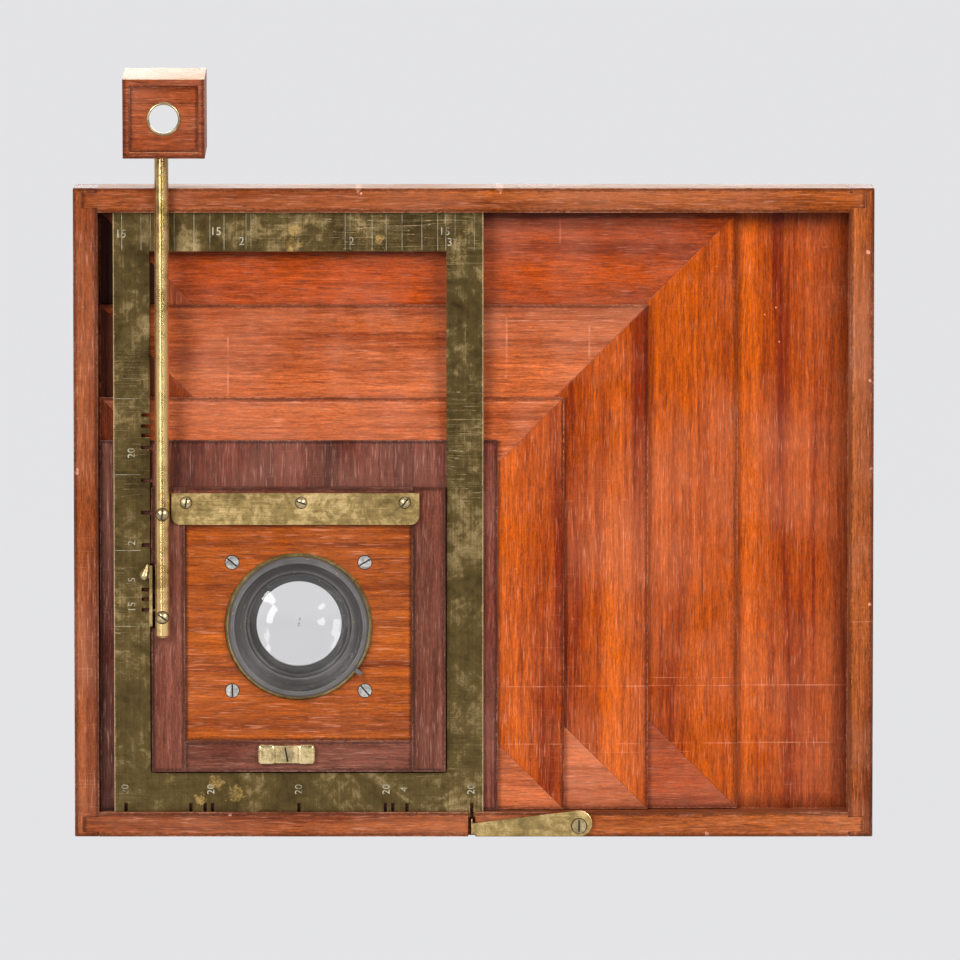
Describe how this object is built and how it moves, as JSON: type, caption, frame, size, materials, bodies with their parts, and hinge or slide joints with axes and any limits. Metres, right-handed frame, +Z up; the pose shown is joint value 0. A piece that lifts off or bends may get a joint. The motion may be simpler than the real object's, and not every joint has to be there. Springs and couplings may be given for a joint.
{
  "type": "view camera",
  "caption": "Mahogany multiplying view camera: lens carrier sliding across and up over a brass plate and nested frames, with rod finder, sliding rear box and hinged ground glass.",
  "frame": {"origin": "centre of the tripod bush's mouth, in the underside of the bed", "axes": "+X to the right seen from the front, along the traverse; +Y from the lens to the plate; +Z up"},
  "size_m": [0.328, 0.2277, 0.3157],
  "materials": {
    "rim_wood": "worn french polish",
    "frame_wood": "oiled mahogany, upright grain",
    "frame_rail_wood": "oiled mahogany, level grain",
    "carrier_wood": "dark french polish",
    "board_wood": "oiled mahogany",
    "shell_wood": "french polish",
    "black_wood": "matt black",
    "old_brass": "tarnished, scratched",
    "bright_brass": "polished",
    "sheet_brass": "worn lacquer",
    "steel_screw": "worn",
    "black_lacquer": "satin black lacquer",
    "lens_glass": "polished",
    "ground_glass": "ground one side"
  },
  "bodies": {
    "root": {"front_left_stile": "rim_wood", "front_right_stile": "rim_wood", "front_top_rail": "rim_wood", "front_bottom_rail": "rim_wood", "fixed_frame_stiles": "frame_wood", "fixed_frame_rails": "frame_rail_wood", "latch_washer": "sheet_brass", "latch_screw": "sheet_brass", "shell_left_wall": "shell_wood", "shell_right_wall": "shell_wood", "shell_top_wall": "shell_wood", "bed": "shell_wood", "tripod_bush": "sheet_brass"},
    "slide_plate": {"slide_plate": "old_brass"},
    "carrier": {"baffle_panel": "carrier_wood", "light_tunnel": "black_wood", "carrier_left_stile": "carrier_wood", "carrier_right_stile": "carrier_wood", "carrier_top_rail": "carrier_wood", "carrier_bottom_rail": "carrier_wood", "lens_board": "board_wood", "lens_board_screws": "steel_screw", "lens_flange": "sheet_brass", "lens_barrel": "black_lacquer", "retaining_ring": "black_lacquer", "front_glass": "lens_glass", "rear_glass": "lens_glass", "cleat": "sheet_brass", "cleat_screws": "sheet_brass", "turn_button_screw": "sheet_brass", "finder_rod": "bright_brass", "finder_rod_screws": "sheet_brass", "finder_walls": "shell_wood", "finder_front": "shell_wood", "finder_back": "shell_wood", "finder_eyelet": "sheet_brass"},
    "frame_1": {"frame_1_stiles": "frame_wood", "frame_1_rails": "frame_rail_wood"},
    "frame_2_slip": {"frame_2_runner": "black_wood"},
    "frame_2": {"frame_2_stiles": "frame_wood", "frame_2_rails": "frame_rail_wood"},
    "frame_3_slip": {"frame_3_runner": "black_wood"},
    "frame_3": {"frame_3_stiles": "frame_wood", "frame_3_rails": "frame_rail_wood"},
    "catch": {"catch_spring": "sheet_brass", "catch_knob": "sheet_brass"},
    "board_button": {"turn_button": "bright_brass"},
    "latch": {"latch_lever": "sheet_brass"},
    "rear_box": {"rear_box_walls": "shell_wood", "plate_frame": "shell_wood", "hinge_fixed_leaves": "sheet_brass", "back_button_screw": "sheet_brass"},
    "clamp": {"clamp_screw": "bright_brass", "clamp_washer": "sheet_brass"},
    "glass_back": {"hinge_moving_leaves": "sheet_brass", "ground_glass_frame": "shell_wood", "ground_glass": "ground_glass"},
    "back_button": {"back_button": "bright_brass"}
  },
  "joints": [
    {"name": "lens_traverse", "type": "slide", "parent": "root", "child": "slide_plate", "axis": [1, 0, 0], "range_m": [0, 0.14224]},
    {"name": "lens_rise", "type": "slide", "parent": "slide_plate", "child": "carrier", "axis": [0, 0, 1], "range_m": [0, 0.08025]},
    {"name": "frame_1_traverse", "type": "slide", "parent": "root", "child": "frame_1", "axis": [1, 0, 0], "range_m": [0, 0.04482]},
    {"name": "frame_2_traverse", "type": "slide", "parent": "root", "child": "frame_2_slip", "axis": [1, 0, 0], "range_m": [0, 0.08123]},
    {"name": "frame_2_rise", "type": "slide", "parent": "frame_2_slip", "child": "frame_2", "axis": [0, 0, 1], "range_m": [0, 0.03283]},
    {"name": "frame_3_traverse", "type": "slide", "parent": "root", "child": "frame_3_slip", "axis": [1, 0, 0], "range_m": [0, 0.11522]},
    {"name": "frame_3_rise", "type": "slide", "parent": "frame_3_slip", "child": "frame_3", "axis": [0, 0, 1], "range_m": [0, 0.06525]},
    {"name": "latch_swing", "type": "hinge", "parent": "root", "child": "latch", "pos_m": [0.04332, -0.1015, 0.0047], "axis": [0, 1, 0], "range_deg": [0, 5.2]},
    {"name": "catch_flex", "type": "hinge", "parent": "carrier", "child": "catch", "pos_m": [-0.1325, -0.099, 0.10998], "axis": [0, -1, 0], "range_deg": [-6, 2], "stiffness_Nm_per_rad": 0.05},
    {"name": "board_button_turn", "type": "hinge", "parent": "carrier", "child": "board_button", "pos_m": [-0.0769, -0.1015, 0.0342], "axis": [0, 1, 0], "range_deg": [0, 90]},
    {"name": "focus_slide", "type": "slide", "parent": "root", "child": "rear_box", "axis": [0, 1, 0], "range_m": [0, 0.05]},
    {"name": "clamp_turn", "type": "hinge", "parent": "rear_box", "child": "clamp", "pos_m": [0.158, -0.028, 0.1535], "axis": [1, 0, 0], "range_deg": [0, 180]},
    {"name": "back_swing", "type": "hinge", "parent": "rear_box", "child": "glass_back", "pos_m": [-0.10958, 0.0529, 0.12682], "axis": [0, 0, 1], "range_deg": [0, 110]},
    {"name": "back_button_turn", "type": "hinge", "parent": "rear_box", "child": "back_button", "pos_m": [0.11312, 0.061, 0.12682], "axis": [0, 1, 0], "range_deg": [0, 90]}
  ],
  "couplings": [
    {"joint": "frame_1_traverse", "follows": "lens_traverse", "ratio": 0.315},
    {"joint": "frame_2_traverse", "follows": "lens_traverse", "ratio": 0.571},
    {"joint": "frame_2_rise", "follows": "lens_rise", "ratio": 0.409},
    {"joint": "frame_3_traverse", "follows": "lens_traverse", "ratio": 0.81},
    {"joint": "frame_3_rise", "follows": "lens_rise", "ratio": 0.813}
  ]
}
